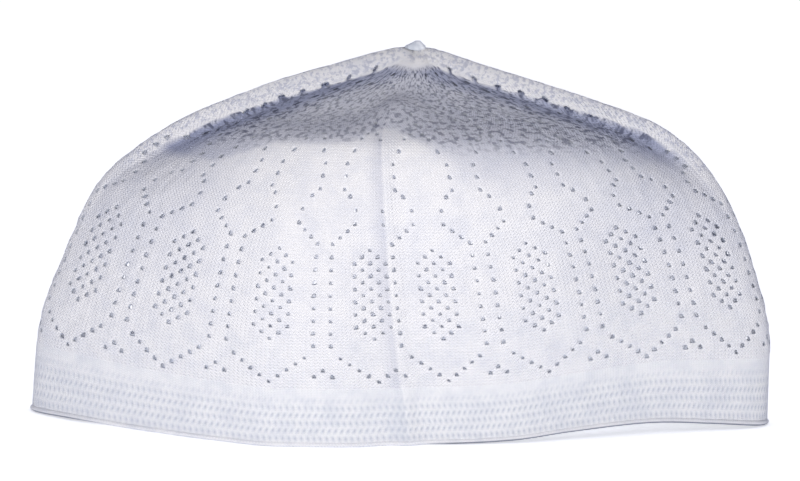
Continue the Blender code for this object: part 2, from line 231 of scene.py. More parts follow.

# The dashes are painted shade in the gaps between the drawn-in wales of the crown, drawn
# coarser than the stitches: two and a half wales wide, one and a half rows high
DASH_PER_WALE = 0.40
DASH_PER_ROW = 0.72
DASH_EDGE = (0.48, 0.60)
DASH_SHARES = (0.665, 0.71)
DASH_GREYS = (0.15, 0.50)
DASH_STRENGTH = 0.9


def smooth_table(table, names, name, at):
    """Read one named column of a table at a place between its rows, on a smooth curve."""
    column = names.index(name)
    places = [row[0] for row in table]
    values = [row[column] for row in table]
    at = min(max(at, places[0]), places[-1])
    k = max(i for i in range(len(places) - 1) if places[i] <= at)
    gaps = [places[i + 1] - places[i] for i in range(len(places) - 1)]
    slopes = [(values[i + 1] - values[i]) / gaps[i] for i in range(len(gaps))]

    def tangent(i):
        if i == 0:
            return slopes[0]
        if i == len(values) - 1:
            return slopes[-1]
        before, after = slopes[i - 1], slopes[i]
        if before * after <= 0.0:
            return 0.0
        weight = gaps[i] / (gaps[i - 1] + gaps[i])
        return 1.0 / (weight / before + (1.0 - weight) / after)

    t = (at - places[k]) / gaps[k]
    start, end = tangent(k) * gaps[k], tangent(k + 1) * gaps[k]
    blend = t * t * (3.0 - 2.0 * t)
    return (values[k] * (1.0 - blend) + values[k + 1] * blend
            + start * t * (1.0 - t) ** 2 - end * t * t * (1.0 - t))


def of_round(name, share):
    return smooth_table(ROUNDS, ROUND_COLUMNS, name, share)


def of_station(name, place):
    return smooth_table(STATIONS, STATION_COLUMNS, name, place)


def step_up(value, low, high):
    """Rise smoothly from 0 at low to 1 at high."""
    t = min(max((value - low) / (high - low), 0.0), 1.0)
    return t * t * (3.0 - 2.0 * t)


def bump(value, centre, span):
    """A rounded bump, 1 at centre and 0 beyond span."""
    t = min(abs(value - centre) / span, 1.0)
    return 0.5 + 0.5 * math.cos(math.pi * t)


def column_place(column):
    """The half and the place of a knitted column, counted to the right from the seam."""
    left_fold = GIRTH_COLUMNS - LEFT_COLUMNS
    if column <= RIGHT_COLUMNS:
        return "front", column / RIGHT_COLUMNS
    if column >= left_fold:
        return "front", -(GIRTH_COLUMNS - column) / LEFT_COLUMNS
    middle = (RIGHT_COLUMNS + left_fold) / 2
    return "back", (middle - column) / (middle - RIGHT_COLUMNS)


def fold_distance(column):
    """How many columns a column lies from the nearer fold."""
    return min(abs(column - RIGHT_COLUMNS), abs(column - GIRTH_COLUMNS + LEFT_COLUMNS))


def seam_relief(distance):
    """How far the wall stands out by the seam: a soft ridge, steeper on its right flank."""
    return SEAM_HEIGHT * bump(distance, 0.0, SEAM_LEFT_RUN if distance < 0.0 else SEAM_RIGHT_RUN)


class Round:
    """One round of the form, with its measures read once."""

    def __init__(self, share):
        self.share = share
        self.size = {name: of_round(name, share) for name in ROUND_COLUMNS}
        tighten = step_up(share, *FOLD_TIGHTENS)
        self.radius = FOLD_RADIUS_HEM + (FOLD_RADIUS_CROWN - FOLD_RADIUS_HEM) * tighten
        self.edge = self.size["fold"] - self.size["lip"]
        low, high = max(share - LIP_SLOPE_SPAN, 0.0), min(share + LIP_SLOPE_SPAN, 1.0)
        climb = of_round("fold", high) - of_round("fold", low)
        right = of_round("right", high) - of_round("right", low)
        left = of_round("left", high) - of_round("left", low)
        self.outward = {
            1: Vector((climb, 0.0, -right)).normalized(),
            -1: Vector((-climb, 0.0, -left)).normalized(),
        }

    def plain_point(self, column):
        """A point of the wall and crown without the lip."""
        half, place = column_place(column)
        share, size = self.share, self.size
        turn = FRONT_TURN if half == "front" else BACK_TURN
        over = 1.0 - abs(place)
        across = math.copysign(1.0 - (1.0 + turn) * over ** 2 / (over + turn), place)
        side = -1.0 if place < 0.0 else 1.0
        width = size["left"] if place < 0.0 else size["right"]
        run = (1.0 - abs(across)) * width
        rounding = 2.0 * self.radius * run * math.exp(-run / FOLD_REACH)
        if half == "back":
            fullness = BACK_FULLNESS_HEM + (BACK_FULLNESS_CROWN - BACK_FULLNESS_HEM) * share
            depth = size["back"] * (1.0 - abs(across) ** fullness)
            rise = self.edge + (size["back_rise"] - self.edge) * (1.0 - across ** 2)
            return Vector((across * width, math.sqrt(depth ** 2 + rounding), rise))
        x = size["seam"] + abs(across) * (side * width - size["seam"])
        low, mid, high = (of_station(name, across) for name in ("hem", "waist", "brow"))
        plan = low + (mid - low) * step_up(share, 0.0, WAIST_SHARE)
        plan += (high - plan) * step_up(share, WAIST_SHARE, BROW_SHARE)
        depth = math.sqrt((size["front"] * plan) ** 2 + rounding)
        depth += seam_relief(x - size["seam"]) * (1.0 - step_up(share, BROW_SHARE, SEAM_END_SHARE))
        z = self.edge + (size["rise"] - self.edge) * (1.0 - abs(across) ** FRONT_ARCH)
        z += of_station("lift", across) * (1.0 - step_up(share, WAIST_SHARE, LIFT_END_SHARE))
        z -= of_station("hollow", across) * bump(share, HOLLOW_SHARE, HOLLOW_SPAN)
        return Vector((x, -depth, z))

    def points(self, columns):
        """The points at a list of columns that runs once round, with the raised lip."""
        plain = [self.plain_point(column) for column in columns]
        along = [0.0]
        for before, after in zip(plain, plain[1:]):
            along.append(along[-1] + (after - before).length)
        folds = {1: RIGHT_COLUMNS, -1: GIRTH_COLUMNS - LEFT_COLUMNS}
        at_fold = {}
        for side, fold in folds.items():
            nearest = min(range(len(columns)), key=lambda i: abs(columns[i] - fold))
            at_fold[side] = along[nearest]
        height = self.size["lip"]
        pinch = LIP_PINCH * min(height / LIP_PINCH_HEIGHT, 1.0)
        shaped = []
        for point, way in zip(plain, along):
            side = min(folds, key=lambda s: abs(way - at_fold[s]))
            reach = abs(way - at_fold[side])
            narrowed = point.y * (1.0 - pinch * bump(reach, 0.0, LIP_PINCH_RUN))
            raised = self.outward[side] * height * (1.0 - min(reach / LIP_RUN, 1.0) ** 2)
            shaped.append(Vector((point.x, narrowed, point.z)) + raised)
        return shaped


def share_at_height(height):
    """The share of the way up at which the wall reaches a height near the hem."""
    low, high = 0.0, 0.5
    for _ in range(30):
        middle = (low + high) / 2
        if of_round("rise", middle) < height:
            low = middle
        else:
            high = middle
    return low


def course_share(course):
    """The share of the way up at which a course lies."""
    return (FIRST_COURSE - course) * COURSE


def course_row(course):
    """The row of the body's cells that a course of the chart is knitted in."""
    return BODY_LOW_COURSE - course + 1


def girth_of(ring):
    """The length once round a ring of points."""
    return sum((b - a).length for a, b in zip(ring, ring[1:]))


def wrap_grid(mesh, columns, shares, push):
    """Lay a fresh grid of knitting on the form. push gives each vertex a step outwards."""
    around = [GIRTH_COLUMNS * i / columns for i in range(columns + 1)]
    plain = [Round(share).points(around) for share in shares]
    rows = len(shares) - 1
    rounds = []
    for j, ring in enumerate(plain):
        pushed = []
        for i, point in enumerate(ring):
            above = plain[min(j + 1, rows)][i] - plain[max(j - 1, 0)][i]
            beside = ring[i + 1 if i < columns else 1] - ring[i - 1 if i > 0 else columns - 1]
            outward = beside.cross(above).normalized()
            pushed.append(point + outward * push(i % columns, j, beside.length / 2))
        rounds.append(pushed)
    layer = mesh.loops.layers.uv.verify()
    index = {}
    for vert in mesh.verts:
        index[vert] = (round((vert.co.x + 0.5) * columns), round((vert.co.y + 0.5) * rows))
    for face in mesh.faces:
        for loop in face.loops:
            i, j = index[loop.vert]
            loop[layer].uv = (i / columns, shares[j])
    for vert, (i, j) in index.items():
        vert.co = rounds[j][i] * MM
    return index, rounds


def new_piece(name, mesh, material, node):
    """Name a finished mesh, give it its material and let it stand for a solid of the frame."""
    data = bpy.data.meshes.new(name)
    mesh.to_mesh(data)
    mesh.free()
    data.shade_smooth()
    piece = bpy.data.objects.new(name, data)
    bpy.context.scene.collection.objects.link(piece)
    data.materials.append(material)
    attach(piece, "root")
    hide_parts(node)
    return piece


def add_node(material, kind, settings=None, **links):
    """Add one shader node with its settings, and link its inputs by name or number."""
    node = material.node_tree.nodes.new(kind)
    for key, value in (settings or {}).items():
        if isinstance(key, int) or key in node.inputs:
            node.inputs[key].default_value = value
        else:
            setattr(node, key, value)
    for key, source in links.items():
        target = node.inputs[int(key[3:])] if key.startswith("in_") else node.inputs[key]
        material.node_tree.links.new(source, target)
    return node


def linear(hex_colour):
    """An sRGB hex colour as linear red, green, blue and alpha."""
    parts = [int(hex_colour[i:i + 2], 16) / 255 for i in (0, 2, 4)]
    return tuple(p / 12.92 if p <= 0.04045 else ((p + 0.055) / 1.055) ** 2.4 for p in parts) + (1.0,)


def eyelets(rings):
    """Every eyelet as its first half column, how many half columns it spans, and its course."""
    found = []
    for column in range(1, GIRTH_COLUMNS + 1):
        offset = abs(column % REPEAT - REPEAT // 2)
        found += [(2 * column - 2, 2, course) for course in EYELET_CHART[offset]]
    for turn, course in enumerate(CROWN_COURSES):
        girth = girth_of(rings[course_row(course)])
        count = round(girth / CROWN_PITCH)
        span = max(2, round(BODY_COLUMNS * CROWN_WIDTH / girth))
        step = BODY_COLUMNS / count
        lip = LIP_RUN * BODY_COLUMNS / girth
        for fold in (2 * RIGHT_COLUMNS, BODY_COLUMNS - 2 * LEFT_COLUMNS):
            for way in (-1, 1):
                found.append((round(fold + way * (lip + LIP_SLIT_GAP) - span / 2), span, course))
        for k in range(count):
            first = round((k + CROWN_START + 0.5 * (turn % 2)) * step)
            off_seam = SEAM_CLEAR < first < BODY_COLUMNS - span - SEAM_CLEAR
            if off_seam and 2 * fold_distance(first / 2) > lip + LIP_CLEAR_SPANS * span:
                found.append((first, span, course))
    return found


def eyelet_outline(across, up, on_crown):
    """A corner of an eyelet: a small drop on the wall, a slit up the wales on the crown."""
    if on_crown:
        half_width, corner, middle = SLIT
        return half_width * across, up * (corner + middle * (1.0 - across ** 2))
    half_width, corner, middle = DROP_TOP if up > 0.0 else DROP_FOOT
    return half_width * across, up * (corner + middle * (1.0 - abs(across)))


def on_round(ring, at):
    """A point of a round between two of its columns."""
    k = min(int(at), len(ring) - 2)
    return ring[k].lerp(ring[k + 1], at - k)


def open_eyelets(mesh, index, rings):
    """Merge the cells of each eyelet, inset the hole, give it its drop shape and take it out."""
    cells = {}
    for face in mesh.faces:
        corner = min(index[v][0] for v in face.verts), min(index[v][1] for v in face.verts)
        cells[corner] = face
    spoken_for, taken = set(), []
    for first, span, course in eyelets(rings):
        row = course_row(course)
        group = [(first + k, row) for k in range(span)]
        beside = [(first + k, row) for k in range(-1, span + 1)]
        if any(cell not in cells for cell in group) or any(cell in spoken_for for cell in beside):
            continue
        spoken_for.update(group)
        taken += [cells[cell] for cell in group]
    made = bmesh.ops.dissolve_faces(mesh, faces=taken, use_verts=False)["region"]
    corners = {face: [index[v] for v in face.verts] for face in made}
    bmesh.ops.inset_individual(mesh, faces=made, thickness=EYELET_MARGIN * MM, use_even_offset=True)
    draw = random.Random(11)
    for face in made:
        places = corners[face]
        first, last = min(p[0] for p in places), max(p[0] for p in places)
        low, high = min(p[1] for p in places), max(p[1] for p in places)
        span = last - first
        width = (on_round(rings[low], last) - on_round(rings[low], first)).length
        height = (rings[high][first] - rings[low][first]).length
        size = draw.uniform(*EYELET_SIZES)
        size *= 1.0 + SIDE_STRETCH * step_up(abs(column_place(first / 2)[1]), *SIDE_STRETCH_PLACES)
        lean = draw.uniform(-EYELET_LEAN, EYELET_LEAN)
        on_crown = low >= course_row(CROWN_COURSES.start)
        for vert, (i, j) in zip(face.verts, places):
            wide, tall = eyelet_outline(2.0 * (i - first) / span - 1.0, 1.0 if j == high else -1.0, on_crown)
            across = 0.5 + size * (wide + lean * tall) / width
            upward = 0.5 + size * tall / height
            at = first + span * min(max(across, EYELET_EDGE_ACROSS), 1.0 - EYELET_EDGE_ACROSS)
            rise = min(max(upward, EYELET_EDGE_UP), 1.0 - EYELET_EDGE_UP)
            vert.co = on_round(rings[low], at).lerp(on_round(rings[high], at), rise) * MM
    bmesh.ops.delete(mesh, geom=made, context="FACES_ONLY")


def knit_material(name, hex_light, hex_shade, wales, courses, depth, hex_painted_shade_and_specks=None, hex_dashes=None):
    """Plain cotton knit, quite matt: fine V-shaped stitches in columns, drawn from the piece's UV
    map, with a soft fuzz. The piece's "hollow" attribute holds painted shade and turns it towards
    the painted shade colour, where there is one, and with dashes the crown gets dark dashes of
    painted shade and the lip is specked."""
    material = bpy.data.materials.new(name)
    material.use_nodes = True
    shader = material.node_tree.nodes["Principled BSDF"]
    place = add_node(material, "ShaderNodeTexCoord")
    scaled = add_node(material, "ShaderNodeMapping", {"Scale": (wales, courses, 1.0)},
                      Vector=place.outputs["UV"])
    split = add_node(material, "ShaderNodeSeparateXYZ", Vector=scaled.outputs[0])
    side = add_node(material, "ShaderNodeMath", {"operation": "PINGPONG", 1: 0.5},
                    in_0=split.outputs["X"])
    slant = add_node(material, "ShaderNodeMath", {"operation": "MULTIPLY_ADD", 1: STITCH_SLANT},
                     in_0=side.outputs[0], in_2=split.outputs["Y"])
    turn = add_node(material, "ShaderNodeMath", {"operation": "MULTIPLY", 1: 2 * math.pi},
                    in_0=slant.outputs[0])
    loop = add_node(material, "ShaderNodeMath", {"operation": "SINE"}, in_0=turn.outputs[0])
    wale = add_node(material, "ShaderNodeMath", {"operation": "MULTIPLY_ADD", 1: WALE_RELIEF},
                    in_0=side.outputs[0], in_2=loop.outputs[0])
    fuzz = add_node(material, "ShaderNodeTexNoise",
                    {"Scale": FUZZ_PER_MM / MM, "Detail": 3.0, "Roughness": 0.6},
                    Vector=place.outputs["Object"])
    height = add_node(material, "ShaderNodeMath", {"operation": "MULTIPLY_ADD", 1: FUZZ_RELIEF},
                      in_0=fuzz.outputs["Fac"], in_2=wale.outputs[0])
    relief = add_node(material, "ShaderNodeBump", {"Strength": RELIEF_STRENGTH, "Distance": depth * MM},
                      Height=height.outputs[0])
    patches = add_node(material, "ShaderNodeTexNoise",
                       {"Scale": PATCHES_PER_MM / MM, "Detail": 4.0, "Roughness": 0.65},
                       Vector=place.outputs["Object"])
    tone = add_node(material, "ShaderNodeMath", {"operation": "MULTIPLY_ADD", 1: STITCH_TONE},
                    in_0=loop.outputs[0], in_2=patches.outputs["Fac"])
    ramp = add_node(material, "ShaderNodeValToRGB", Fac=tone.outputs[0])
    for stop, position, hex_colour in zip(ramp.color_ramp.elements, TONE_RANGE, (hex_shade, hex_light)):
        stop.position = position
        stop.color = linear(hex_colour)
    colour = ramp.outputs["Color"]
    if hex_painted_shade_and_specks:
        # Painted shade, read from the "hollow" attribute
        shade_attribute = add_node(material, "ShaderNodeAttribute", {"attribute_name": "hollow"})
        colour = add_node(material, "ShaderNodeMixRGB", {"blend_type": "MIX", "Color2": linear(hex_painted_shade_and_specks)},
                          Fac=shade_attribute.outputs["Fac"], Color1=colour).outputs[0]
    # Dark dashes of painted shade on the crown, where its painted shade is deep
    if hex_dashes:
        dash_scale = (wales * DASH_PER_WALE, courses * DASH_PER_ROW, 1.0)
        long_cells = add_node(material, "ShaderNodeMapping", {"Scale": dash_scale}, Vector=place.outputs["UV"])
        cells = add_node(material, "ShaderNodeTexNoise", {"Scale": 1.0, "Detail": 2.0, "Roughness": 0.55},
                         Vector=long_cells.outputs[0])
        dashes = add_node(material, "ShaderNodeMapRange",
                          {"From Min": DASH_EDGE[0], "From Max": DASH_EDGE[1]}, in_0=cells.outputs["Fac"])
        rise = add_node(material, "ShaderNodeSeparateXYZ", Vector=place.outputs["UV"])
        crown = add_node(material, "ShaderNodeMapRange",
                         {"From Min": DASH_SHARES[0], "From Max": DASH_SHARES[1]}, in_0=rise.outputs["Y"])
        greyed = add_node(material, "ShaderNodeMapRange",
                          {"From Min": DASH_GREYS[0], "From Max": DASH_GREYS[1], "To Max": DASH_STRENGTH},
                          in_0=shade_attribute.outputs["Fac"])
        on_crown = add_node(material, "ShaderNodeMath", {"operation": "MULTIPLY"},
                            in_0=crown.outputs[0], in_1=greyed.outputs[0])
        dash_shade = add_node(material, "ShaderNodeMath", {"operation": "MULTIPLY"},
                           in_0=dashes.outputs[0], in_1=on_crown.outputs[0])
        colour = add_node(material, "ShaderNodeMixRGB", {"blend_type": "MIX", "Color2": linear(hex_dashes)},
                          Fac=dash_shade.outputs[0], Color1=colour).outputs[0]
        grains = add_node(material, "ShaderNodeTexNoise",
                          {"Scale": SPECKS_PER_MM / MM, "Detail": 2.0, "Roughness": 0.6},
                          Vector=place.outputs["Object"])
        specks = add_node(material, "ShaderNodeMapRange",
                          {"From Min": SPECK_EDGE[0], "From Max": SPECK_EDGE[1]}, in_0=grains.outputs["Fac"])
        on_lip = add_node(material, "ShaderNodeMapRange",
                          {"From Min": SPECK_GREYS[0], "From Max": SPECK_GREYS[1], "To Max": SPECK_STRENGTH},
                          in_0=shade_attribute.outputs["Fac"])
        rubbed = add_node(material, "ShaderNodeMath", {"operation": "MULTIPLY"},
                          in_0=specks.outputs[0], in_1=on_lip.outputs[0])
        colour = add_node(material, "ShaderNodeMixRGB", {"blend_type": "MIX", "Color2": linear(hex_painted_shade_and_specks)},
                          Fac=rubbed.outputs[0], Color1=colour).outputs[0]
    material.node_tree.links.new(colour, shader.inputs["Base Color"])
    material.node_tree.links.new(relief.outputs[0], shader.inputs["Normal"])
    shader.inputs["Roughness"].default_value = 0.92
    shader.inputs["Sheen Weight"].default_value = 0.15
    shader.inputs["Sheen Roughness"].default_value = 0.6
    shader.inputs["Specular IOR Level"].default_value = 0.25
    return material


body_shares = [share_at_height(BAND_TOP)]
body_shares += [course_share(course + 0.5) for course in range(BODY_LOW_COURSE, BODY_TOP_COURSE - 1, -1)]
body_shares += TOP_SHARES
uneven = random.Random(23)
unevenness = [[uneven.uniform(-1.0, 1.0) for _ in range(BODY_COLUMNS)] for _ in body_shares]


def body_push(i, j, spacing):
    """The small random step that each stitch of the body stands in or out."""
    if j == 0:
        return 0.0
    reach = 2 * fold_distance(i / 2) * spacing
    on_lip = step_up(body_shares[j], *LIP_UNEVEN_SHARES)
    on_lip *= 1.0 - step_up(reach, 0.8 * LIP_RUN, 1.3 * LIP_RUN)
    amount = WALL_UNEVENNESS + SIDE_UNEVENNESS * step_up(abs(column_place(i / 2)[1]), *SIDE_UNEVEN_PLACES)
    amount += (CROWN_UNEVENNESS - amount) * step_up(body_shares[j], *CROWN_UNEVEN_SHARES)
    return unevenness[j][i] * (spacing * amount * (1.0 - on_lip) + LIP_UNEVENNESS * on_lip)


def crown_painted_shade(half, place, share):
    """The painted shade of the crown, without the lip and what lies beside it."""
    start = BROW_LINE + CENTRE_RISE * bump(place, 0.0, CENTRE_SPAN)
    run, depth = BROW_RUN, CROWN_PAINTED_SHADE
    if half == "front":
        right = step_up(place, *RIGHT_PLACES)
        start -= RIGHT_LOWERED * right
        run += RIGHT_LOWERED * right
        depth += RIGHT_DARKER * right
        start -= LEFT_LOWERED * step_up(-place, *LEFT_PLACES)
        depth += LEFT_DARKER * step_up(-place, *LEFT_END_PLACES)
    return depth * step_up(share, start, start + run)


def knit_painted_shade(column, share, girth):
    """How much painted shade the knit gets, from 0 to 1: most on the crown, where it dips behind the
    lip, at the far sides, and a little along the left of the seam. Down to -1 it is specked, on the
    lip and at the very top."""
    half, place = column_place(column)
    reach = fold_distance(column) * girth / GIRTH_COLUMNS
    off_lip = step_up(reach, *LIP_FOOT)
    crown = crown_painted_shade(half, place, share) * off_lip
    dip = DIP_PAINTED_SHADE * off_lip * (1.0 - step_up(reach, *DIP_RUN)) * step_up(share, *DIP_SHARES)
    side = SIDE_PAINTED_SHADE * step_up(abs(place), *SIDE_PAINTED_SHADE_PLACES) * step_up(share, *SIDE_PAINTED_SHADE_SHARES)
    left_of_seam = (GIRTH_COLUMNS - column) * girth / GIRTH_COLUMNS if column > GIRTH_COLUMNS / 2 else 0.0
    seam = SEAM_PAINTED_SHADE * (1.0 - step_up(left_of_seam, *SEAM_PAINTED_SHADE_RUN))
    seam *= step_up(left_of_seam, 0.0, SEAM_PAINTED_SHADE_RUN[0]) * (1.0 - step_up(share, *SEAM_PAINTED_SHADE_SHARES))
    top = step_up(share, *TOP_SPECK_SHARES)
    on_lip = (1.0 - off_lip) * step_up(share, *LIP_SPECK_SHARES)
    return max(crown + dip, side * off_lip) * (1.0 - top) - max(on_lip, top) + seam


body_mesh = bmesh.new()
# The "hollow" attribute holds each vertex's painted shade, and below zero its specks
body_painted_shade = body_mesh.verts.layers.float.new("hollow")
bmesh.ops.create_grid(
    body_mesh, x_segments=BODY_COLUMNS, y_segments=len(body_shares) - 1, size=0.5, calc_uvs=True)
body_index, body_rings = wrap_grid(body_mesh, BODY_COLUMNS, body_shares, body_push)
body_girths = [girth_of(ring) for ring in body_rings]
for vert, (i, j) in body_index.items():
    vert[body_painted_shade] = knit_painted_shade(i / 2, body_shares[j], body_girths[j])
open_eyelets(body_mesh, body_index, body_rings)

# The last round is drawn together at the tip, the grid's two ends are joined at the seam, and the
# lower edge stays sharp where the band starts
top_round = [vert for vert in body_mesh.verts if body_index.get(vert, (0, 0))[1] == len(body_shares) - 1]
top_point = Vector((of_round("seam", 1.0), 0.0, TOP_HEIGHT)) * MM
bmesh.ops.pointmerge(body_mesh, verts=top_round, merge_co=top_point)
bmesh.ops.remove_doubles(body_mesh, verts=body_mesh.verts, dist=0.02 * MM)
for edge in body_mesh.edges:
    if all(body_index.get(vert, (0, 1))[1] == 0 for vert in edge.verts):
        edge.smooth = False

# Bleached cotton jersey gives a matt white in soft uneven patches, and a bluish grey of painted
# shade with dark dashes of painted shade where the crown's knit is drawn in. The edge of each
# eyelet is painted as shade, greyer, and dark on the crown, so that the holes show.
jersey = knit_material(
    "cotton_jersey", "efeff2", "e0e2ea", wales=BODY_COLUMNS, courses=BODY_STITCH_ROWS, depth=0.35,
    hex_painted_shade_and_specks="99a0bc", hex_dashes="575d76")
eyelet_shade_material = knit_material(
    "cotton_eyelet_edge_painted_shade", "d6dae4", "b4bac8", wales=BODY_COLUMNS, courses=BODY_STITCH_ROWS, depth=0.35,
    hex_painted_shade_and_specks="454b60")
body = new_piece("knitted_body_openwork", body_mesh, jersey, "knitted_body")
# The cut side of each eyelet takes the painted shade material
body.data.materials.append(eyelet_shade_material)
wall = body.modifiers.new("wall", "SOLIDIFY")
wall.thickness = BODY_THICKNESS * MM
wall.offset = -1.0
wall.material_offset_rim = 1

# Hem band: the dense tuck-stitch border round the head opening, of the same cotton, knitted on
# to the body. Its staggered stitches pull in to rows of small slanted dimples. Here are how many
# dimples there are, the grid steps to each, its depth in millimetres and its form in half steps.
DIMPLES_ROUND = 282
DIMPLE_ROWS = 7
DIMPLE_STEPS = 4
DIMPLE_DEPTH = 0.42
DIMPLE_SLANTS = (-0.18, 0.30)
DIMPLE_WIDTH = 0.52
DIMPLE_HEIGHT = 0.62
DIMPLES_FADE = (0.55, 0.97)
FIRST_DIMPLE = 2
BAND_LOW = 1.5
BAND_THICKNESS = 1.9
BAND_STITCH_ROWS = 260.0


def dimple(i, j):
    """How deep the band is pulled in at one of its grid points, from 0 to 1."""
    row = (j - FIRST_DIMPLE) / DIMPLE_STEPS
    nearest = round(row)
    odd = nearest % 2
    up = (row - nearest) * 2.0
    column = i / DIMPLE_STEPS + 0.5 * odd - DIMPLE_SLANTS[odd] * up
    across = (column - round(column)) * 2.0
    fade = 1.0 - step_up(j / (DIMPLE_ROWS * DIMPLE_STEPS), *DIMPLES_FADE)
    return fade * math.exp(-(across / DIMPLE_WIDTH) ** 2 - (up / DIMPLE_HEIGHT) ** 2)


band_rows = DIMPLE_ROWS * DIMPLE_STEPS
band_columns = DIMPLES_ROUND * DIMPLE_STEPS
band_low, band_high = share_at_height(BAND_LOW), share_at_height(BAND_TOP)
band_shares = [band_low + (band_high - band_low) * j / band_rows for j in range(band_rows + 1)]
band_mesh = bmesh.new()
band_painted_shade = band_mesh.verts.layers.float.new("hollow")
bmesh.ops.create_grid(band_mesh, x_segments=band_columns, y_segments=band_rows, size=0.5, calc_uvs=True)
band_index, band_rings = wrap_grid(
    band_mesh, band_columns, band_shares, lambda i, j, _: -DIMPLE_DEPTH * dimple(i, j))
band_girth = girth_of(band_rings[0])
# Painted shade in each dimple, with the body's painted shade carried down into the band
for vert, (i, j) in band_index.items():
    grey = knit_painted_shade(GIRTH_COLUMNS * i / band_columns, band_shares[j], band_girth)
    vert[band_painted_shade] = min(dimple(i, j) + grey, 1.0)
bmesh.ops.remove_doubles(band_mesh, verts=band_mesh.verts, dist=0.05 * MM)
for edge in band_mesh.edges:
    if edge.is_boundary:
        edge.smooth = False

# Cotton tuck knit gives a denser, brighter white than the jersey, with a little painted shade in each dimple
border = knit_material(
    "cotton_tuck_knit", "f1f2f5", "dfe2ea", wales=2 * DIMPLES_ROUND, courses=BAND_STITCH_ROWS, depth=0.2,
    hex_painted_shade_and_specks="c3c9d6")
band = new_piece("hem_band_tuck_knit", band_mesh, border, "hem_band")
wall = band.modifiers.new("wall", "SOLIDIFY")
wall.thickness = BAND_THICKNESS * MM
wall.offset = -1.0

# Edge welt: the rolled cast-on edge under the band, a smooth round cord of cotton knitting that
# the cap stands on. Where the hem hangs clear of the table its underside is painted dark as
# shade: UNDERSIDE is by the sine of the angle down, and LIFTED by the place across the front.
WELT_HEIGHT = 1.7
WELT_WIDTH = 3.0
WELT_PROUD = 0.45
WELT_FLATTENED = 0.98
WELT_SIDES = 12
WELT_ROWS = 4.0
UNDERSIDE = (-0.1, 0.4)
LIFTED_RIGHT = (0.0, 0.12)
LIFTED_LEFT = (0.70, 0.85)

welt_mesh = bmesh.new()
welt_painted_shade = welt_mesh.verts.layers.float.new("hollow")
bmesh.ops.create_grid(welt_mesh, x_segments=WELT_SIDES, y_segments=BODY_COLUMNS, size=0.5, calc_uvs=True)
welt_layer = welt_mesh.loops.layers.uv.verify()
welt_ring = Round(0.0).points([GIRTH_COLUMNS * i / BODY_COLUMNS for i in range(BODY_COLUMNS + 1)])
welt_place = {}
for vert in welt_mesh.verts:
    welt_place[vert] = (round((vert.co.x + 0.5) * WELT_SIDES), round((vert.co.y + 0.5) * BODY_COLUMNS))
for face in welt_mesh.faces:
    for loop in face.loops:
        k, i = welt_place[loop.vert]
        loop[welt_layer].uv = (i / BODY_COLUMNS, k / WELT_SIDES)
for vert, (k, i) in welt_place.items():
    beside = welt_ring[i + 1 if i < BODY_COLUMNS else 1] - welt_ring[i - 1 if i > 0 else BODY_COLUMNS - 1]
    outward = Vector((beside.y, -beside.x, 0.0)).normalized()
    angle = 2 * math.pi * k / WELT_SIDES
    out = (math.cos(angle) - 1.0) * WELT_WIDTH / 2 + WELT_PROUD
    up = (1.0 + math.sin(angle) * (1.0 if math.sin(angle) > 0 else WELT_FLATTENED)) * WELT_HEIGHT / 2
    vert.co = (welt_ring[i] + outward * out + Vector((0.0, 0.0, up))) * MM
    half, where = column_place(GIRTH_COLUMNS * (i % BODY_COLUMNS) / BODY_COLUMNS)
    lifted = step_up(where, *LIFTED_RIGHT) + step_up(-where, *LIFTED_LEFT) if half == "front" else 1.0
    vert[welt_painted_shade] = lifted * step_up(-math.sin(angle), *UNDERSIDE)
bmesh.ops.remove_doubles(welt_mesh, verts=welt_mesh.verts, dist=0.02 * MM)
bmesh.ops.recalc_face_normals(welt_mesh, faces=welt_mesh.faces)

# Rolled cotton gives the same white as a smooth fine cord, with a dark grey line of painted shade below it
roll = knit_material(
    "cotton_rolled_edge", "eeeff3", "dcdfe8", wales=3 * GIRTH_COLUMNS, courses=WELT_ROWS, depth=0.25,
    hex_painted_shade_and_specks="6d7488")
welt = new_piece("edge_welt_rolled", welt_mesh, roll, "edge_welt")

# Tip stub: the last stitches, drawn together on one cotton yarn and tied off. It shows as a small
# fluted stub, a little greyed, that leans to one side. Its form is given on a cone one unit wide.
TIP_FLUTES = 7
TIP_FLUTE_DEPTH = 0.10
TIP_TWIST = 5.0
TIP_NARROWS = 0.16
TIP_BULGE = 0.5
TIP_LEAN = 0.15
TIP_SLOPE = 0.4
TIP_SLOPE_PLACE = (0.14, 0.7)
TIP_ROOT = 1.2
TIP_WALES = 40.0
TIP_ROWS = 12.0

tip_mesh = bmesh.new()
bmesh.ops.create_cone(
    tip_mesh, cap_ends=True, segments=4 * TIP_FLUTES, radius1=0.5, radius2=TIP_NARROWS, depth=1.0)
upright = [edge for edge in tip_mesh.edges if edge.verts[0].co.z * edge.verts[1].co.z < 0.0]
bmesh.ops.subdivide_edges(tip_mesh, edges=upright, cuts=5, use_grid_fill=True)
for vert in tip_mesh.verts:
    angle = math.atan2(vert.co.y, vert.co.x)
    waist = 1.0 + TIP_BULGE * math.sin(math.pi * (vert.co.z + 0.5))
    flute = 1.0 + TIP_FLUTE_DEPTH * math.sin(TIP_FLUTES * angle + TIP_TWIST * vert.co.z)
    vert.co.x = vert.co.x * waist * flute + TIP_LEAN * (vert.co.z + 0.5) ** 2
    vert.co.y *= waist * flute
    vert.co.z += TIP_SLOPE * vert.co.z * bump(vert.co.x, *TIP_SLOPE_PLACE)

# The stub fills its solid's box and reaches down into the body below it
tip_low, tip_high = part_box("tip_stub")
tip_low = (tip_low[0], tip_low[1], tip_low[2] - TIP_ROOT * MM)
for axis in range(3):
    low = min(vert.co[axis] for vert in tip_mesh.verts)
    high = max(vert.co[axis] for vert in tip_mesh.verts)
    for vert in tip_mesh.verts:
        vert.co[axis] = tip_low[axis] + (vert.co[axis] - low) / (high - low) * (tip_high[axis] - tip_low[axis])

